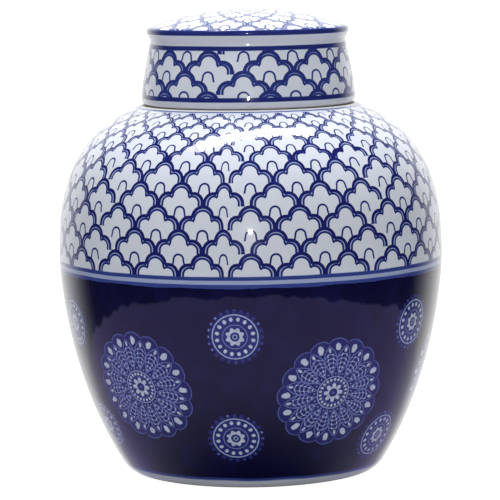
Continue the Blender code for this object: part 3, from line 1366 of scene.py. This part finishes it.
@dataclass
class CapLid:
    """The hollow cap lid: shallow dome, rolled bead, cove and flaring skirt, one fired shell.

    The outline's sizes are in metres. Everything painted is placed by its run, in millimetres down the
    outside from the crown, and by its turn, in degrees to the right of the front.
    """

    paints: Paints
    inner_radius: float = 0.0497
    wall: float = 0.00375
    flare: float = 0.00515
    skirt_height: float = 0.0345
    skirt_fullness: Point = (0.0004, 0.0012)
    bead_outstand: float = 0.00185
    bead_height: float = 0.0082
    bead_crest: float = 0.0057
    dome_inset: float = 0.0009
    rim_round: float = 0.0026
    rim_round_height: float = 0.0036
    rim_chamfer: float = 0.0009
    skirt_row_top: float = 77.9
    skirt_row: float = 10.8
    dome_row: float = 0.2268
    dome_row_radius: float = 47.0
    dome_lattice_end: float = 56.0
    dome_end: float = 57.5
    bead_run: float = 60.0
    skirt_start: float = 66.5
    skirt_end: float = 93.5
    paint_end: float = 103.6
    rim_start: float = 104.0
    rim_end: float = 108.5
    skirt_sheet: Transfer = Transfer(10.8, 90.0, 28.1, 2.0, 0.93)
    dome_sheet: Transfer = Transfer(12.34, 360.0, 360.0 / 13, 12.0, 0.95)
    skirt_shift: float = 2.5
    bands: tuple[Band, ...] = (
        Band(56.0, 59.0, 0.85),
        Band(65.0, 67.4, 0.86),
        Band(92.5, 94.9, 0.87),
    )
    rosette: SmallLace = SmallLace()
    rosette_rim: float = 14.0
    rosette_radius: float = 13.0
    rosette_growth: float = 1.15
    disc_radius: float = 0.24

    def __post_init__(self) -> None:
        """Takes the overall sizes from the frame."""
        low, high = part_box("lid")
        self.foot = low.z
        self.crown = high.z

    def section(self) -> HalfSection:
        """The half section, from the crown down the outside, round the rim and up the inside."""
        cove = self.inner_radius + self.wall
        rim = cove + self.flare
        bead = cove + self.bead_outstand
        bead_top = self.foot + self.skirt_height + self.bead_height
        crest = self.foot + self.skirt_height + self.bead_crest
        skirt_top = self.foot + self.skirt_height
        edge = cove - self.dome_inset
        rise = self.crown - bead_top
        slope = 2 * rise / edge

        half = HalfSection((0.0, self.crown))
        half.curve(
            (edge / 3, self.crown),
            (edge * 2 / 3, bead_top + slope * edge / 3),
            (edge, bead_top),
            30,
        )
        half.corner((bead, bead_top), (bead, crest), 6)
        half.curve(
            (bead, crest - 0.45 * self.bead_crest),
            (cove, skirt_top + 0.4 * self.bead_crest),
            (cove, skirt_top),
            8,
        )
        skirt_foot = self.foot + self.rim_round_height
        third, drop = (rim - cove) / 3, (skirt_top - skirt_foot) / 3
        half.curve(
            (cove + third + self.skirt_fullness[0], skirt_top - drop),
            (rim - third + self.skirt_fullness[1], skirt_foot + drop),
            (rim, skirt_foot),
            20,
        )
        half.corner((rim, self.foot), (rim - self.rim_round, self.foot), 6)
        inner_rim = self.inner_radius + self.flare
        half.line((inner_rim + self.rim_chamfer, self.foot), 2)
        half.corner((inner_rim, self.foot), (inner_rim, self.foot + self.rim_chamfer), 3)
        half.line((self.inner_radius, skirt_top - 0.0010), 10)
        inner_edge = self.inner_radius - self.bead_outstand
        inner_top = bead_top - self.wall
        half.corner((self.inner_radius, inner_top), (inner_edge - 0.001, inner_top + 0.0003), 6)
        drop = self.crown - self.wall
        half.curve(
            (inner_edge * 2 / 3, inner_top + slope * inner_edge / 3),
            (inner_edge / 3, drop),
            (0.0, drop),
            14,
        )
        return half

    def row(self, wrap: Wrap) -> np.ndarray:
        """Which row of scales each vertex falls in, on the dome and on the skirt."""
        skirt = (wrap.run - self.skirt_row_top) / self.skirt_row
        radius = np.maximum(wrap.radius / MM, 2.0)
        dome = np.log(radius / self.dome_row_radius) / self.dome_row
        return np.where(wrap.run < self.bead_run, dome, skirt)

    def paint(self) -> bpy.types.Material:
        """The painted outside: scales on the dome and the skirt, between ruled bands."""
        material, bench, shader = self.paints.blank("painted_lid_glaze")
        place = bench.place()
        run = bench.attribute("run")
        turn = bench.turn()
        wobble = bench.noise(place, 240.0, 1.0) - 0.5
        drift = bench.noise(place, 45.0, 1.0) - 0.5
        row = bench.attribute("row") + drift * 0.03
        skirt_turn = turn + self.skirt_shift + drift * 0.8
        skirt_weight = 1.24 + wobble * 0.2
        dome_weight = 1.0 + wobble * 0.2
        scales = self.paints.scales
        skirt = self.skirt_sheet.drawn(bench, scales, skirt_turn, row, skirt_weight)
        dome = self.dome_sheet.drawn(bench, scales, turn + drift, row, dome_weight)
        rosette, _ = self.rosette.drawn(Polar(bench, run * self.rosette_growth, turn), wobble)
        edge = run + drift * 0.4
        ink = bench.most(
            dome * bench.between(run, self.rosette_rim + 0.5, self.dome_lattice_end, 0.2),
            skirt * bench.between(run, self.skirt_start, self.skirt_end, 0.2),
            *[band.drawn(bench, edge) for band in self.bands],
            bench.stroke(run - self.rosette_rim, 0.5, 0.2) * 0.85,
            rosette * bench.spot(run, self.rosette_radius, 0.3) * 0.8,
        )
        self.paints.glazed(bench, shader, ink, self.paints.painted_roughness)
        return material

    def zone(self, run: float) -> Zone:
        """Which surface a run along the section belongs to."""
        if run < self.paint_end:
            return Zone.PAINTED
        return Zone.BARE if run < self.rim_end else Zone.PLAIN_GLAZE

    def build(self) -> bpy.types.Object:
        """Turns, marks and dresses the lid.

        Returns:
            The piece `lid_shell`.
        """
        section = self.section()
        piece = section.turned("lid_shell")
        wrap = Wrap(piece, section, (0.0, self.crown))
        self.paints.dress(piece, wrap, self.paint(), self.zone)
        wrap.numbers("row", self.row(wrap))
        on_dome = wrap.face_run < self.dome_end
        on_skirt = ~on_dome & (wrap.face_run < self.rim_start)
        dome = wrap.disc((0.25, 0.75), self.disc_radius / self.dome_end, False)
        inside_run = wrap.run.max() - self.rim_start
        inside = wrap.disc((0.75, 0.75), self.disc_radius / inside_run, True)
        skirt = wrap.strip(on_skirt, 0.0, 0.5, True)
        corner_dome = on_dome[wrap.corner_face][:, None]
        corner_skirt = on_skirt[wrap.corner_face][:, None]
        wrap.map_faces(np.where(corner_dome, dome, np.where(corner_skirt, skirt, inside)))
        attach(piece, "lid")
        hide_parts("lid")
        log.info("%s: %d faces", piece.name, len(piece.data.polygons))
        return piece


# ---------------------------------------------------------------- the studio


@dataclass(frozen=True)
class Softbox:
    """A rectangular studio light that faces the jar."""

    name: str
    place: tuple[float, float, float]
    width: float
    depth: float
    power: float
    mirrored: bool

    def hang(self, target: Vector) -> bpy.types.Object:
        """Adds the light, turned to the target."""
        bpy.ops.object.light_add(type="AREA", location=self.place)
        lamp = bpy.context.object
        lamp.name = self.name
        lamp.data.shape = "RECTANGLE"
        lamp.data.size = self.width
        lamp.data.size_y = self.depth
        lamp.data.energy = self.power
        lamp.visible_glossy = self.mirrored
        lamp.rotation_euler = (target - Vector(self.place)).to_track_quat("-Z", "Y").to_euler()
        lamp.select_set(False)
        return lamp


@dataclass(frozen=True)
class Surroundings:
    """White all round for the eye and for soft light, with a wall behind and a low table in the gloss.

    Directions run from -1 to 1: y is below 0 towards the camera, and z is below 0 under the horizon.
    """

    seen: float = 1.05
    soft_light: float = 0.31
    unlit: float = 0.010
    table: float = 0.62
    table_tint: Colour = (0.60, 0.50, 1.0, 1.0)
    table_edge: Point = (-0.300, -0.314)
    table_fade: Point = (-0.96, -0.52)
    table_wobble: float = 0.07
    wall_side: Point = (0.35, 0.88)
    wall_foot: Point = (-0.68, -0.28)

    def build(self) -> None:
        """Makes the world's shader."""
        world = bpy.data.worlds.new("studio")
        world.use_nodes = True
        bpy.context.scene.world = world
        bench = Bench(world.node_tree)
        background = world.node_tree.nodes["Background"]
        facing = Signal(bench, bench.node("ShaderNodeTexCoord").outputs["Generated"])
        _, y, z = bench.split(facing)
        wall = bench.ramp(y, *self.wall_side) * bench.ramp(z, *self.wall_foot)
        edge = z + (bench.noise(facing, 5.0) - 0.5) * self.table_wobble
        low = bench.ramp(edge, *self.table_edge) * bench.ramp(z, *self.table_fade)
        mirrored = bench.most(wall, self.unlit + low * self.table)
        rays = bench.node("ShaderNodeLightPath")
        glossy = Signal(bench, rays.outputs["Is Glossy Ray"])
        seen = Signal(bench, rays.outputs["Is Camera Ray"])
        strength = bench.blend(glossy, self.soft_light, mirrored)
        bench.feed(background.inputs["Strength"], bench.blend(seen, strength, self.seen))
        tinted = glossy * low * (1.0 - wall)
        bench.feed(background.inputs["Color"], bench.colour(tinted, WHITE, self.table_tint))


@dataclass
class Studio:
    """A plain pale floor in a white studio, three soft lights, a small lamp and the camera."""

    aim_height: float = 0.12056
    aim_side: float = -0.00039
    distance: float = 1.609
    elevation: float = math.radians(6.46)
    roll: float = math.radians(-0.84)
    field_of_view: float = math.radians(9.81)
    floor_side: float = 60.0
    floor_tones: tuple[Colour, Colour] = ((0.40, 0.40, 0.41, 1.0), (0.44, 0.44, 0.45, 1.0))
    floor_glow: float = 0.96
    floor_bounce: float = 0.11
    boxes: tuple[Softbox, ...] = (
        Softbox("top_softbox", (-0.03, 0.06, 1.15), 0.95, 0.17, 7.5, True),
        Softbox("back_softbox", (0.0, 0.50, 1.20), 0.90, 0.60, 9.0, False),
        Softbox("overhead_softbox", (0.0, -0.35, 1.15), 0.90, 0.50, 4.5, False),
        Softbox("front_lamp", (0.0, -1.50, 0.35), 0.050, 0.050, 3.5, True),
    )

    def camera(self) -> None:
        """Sets the camera in front of the jar and a little above it."""
        aim = Vector((self.aim_side, 0.0, self.aim_height))
        back = Vector((0.0, -math.cos(self.elevation), math.sin(self.elevation)))
        bpy.ops.object.camera_add()
        camera = bpy.context.object
        camera.name = "camera"
        turn = (-back).to_track_quat("-Z", "Y").to_matrix().to_4x4() @ Matrix.Rotation(self.roll, 4, "Z")
        camera.matrix_world = Matrix.Translation(aim + back * self.distance) @ turn
        camera.data.angle = self.field_of_view
        camera.data.clip_start = 0.05
        camera.data.clip_end = 50.0
        camera.select_set(False)
        bpy.context.scene.camera = camera

    def floor(self) -> None:
        """Lays a matt pale floor with a faint mottle."""
        bpy.ops.mesh.primitive_plane_add(size=self.floor_side)
        plane = bpy.context.object
        plane.name = "floor"
        material = bpy.data.materials.new("pale_floor")
        material.use_nodes = True
        bench = Bench(material.node_tree)
        shader = material.node_tree.nodes["Principled BSDF"]
        mottle = bench.noise(bench.place(), 3.0, 2.0)
        bench.feed(shader.inputs["Base Color"], bench.colour(mottle, *self.floor_tones))
        shader.inputs["Roughness"].default_value = 0.8
        shader.inputs["Specular IOR Level"].default_value = 0.1
        shader.inputs["Emission Color"].default_value = WHITE
        rays = bench.node("ShaderNodeLightPath")
        seen = Signal(bench, rays.outputs["Is Camera Ray"])
        glow = bench.blend(seen, self.floor_bounce, self.floor_glow)
        bench.feed(shader.inputs["Emission Strength"], glow)
        material.cycles.emission_sampling = "NONE"
        under = Signal(bench, bench.node("ShaderNodeNewGeometry").outputs["Backfacing"])
        bench.feed(shader.inputs["Alpha"], 1.0 - under)
        plane.data.materials.append(material)
        plane.visible_glossy = False
        plane.select_set(False)

    def build(self) -> None:
        """Sets up the camera, the floor, the surroundings and the lights."""
        target = Vector((0.0, 0.0, self.aim_height))
        self.camera()
        self.floor()
        Surroundings().build()
        for box in self.boxes:
            box.hang(target)
        bpy.context.scene.view_settings.view_transform = "Standard"


def main() -> None:
    """Builds the studio, the jar's body and its lid."""
    logging.basicConfig(level=logging.INFO)
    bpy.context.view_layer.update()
    bpy.ops.object.select_all(action="DESELECT")
    Studio().build()
    paints = Paints()
    JarBody(paints).build()
    CapLid(paints).build()


if __name__ == "__main__":
    main()
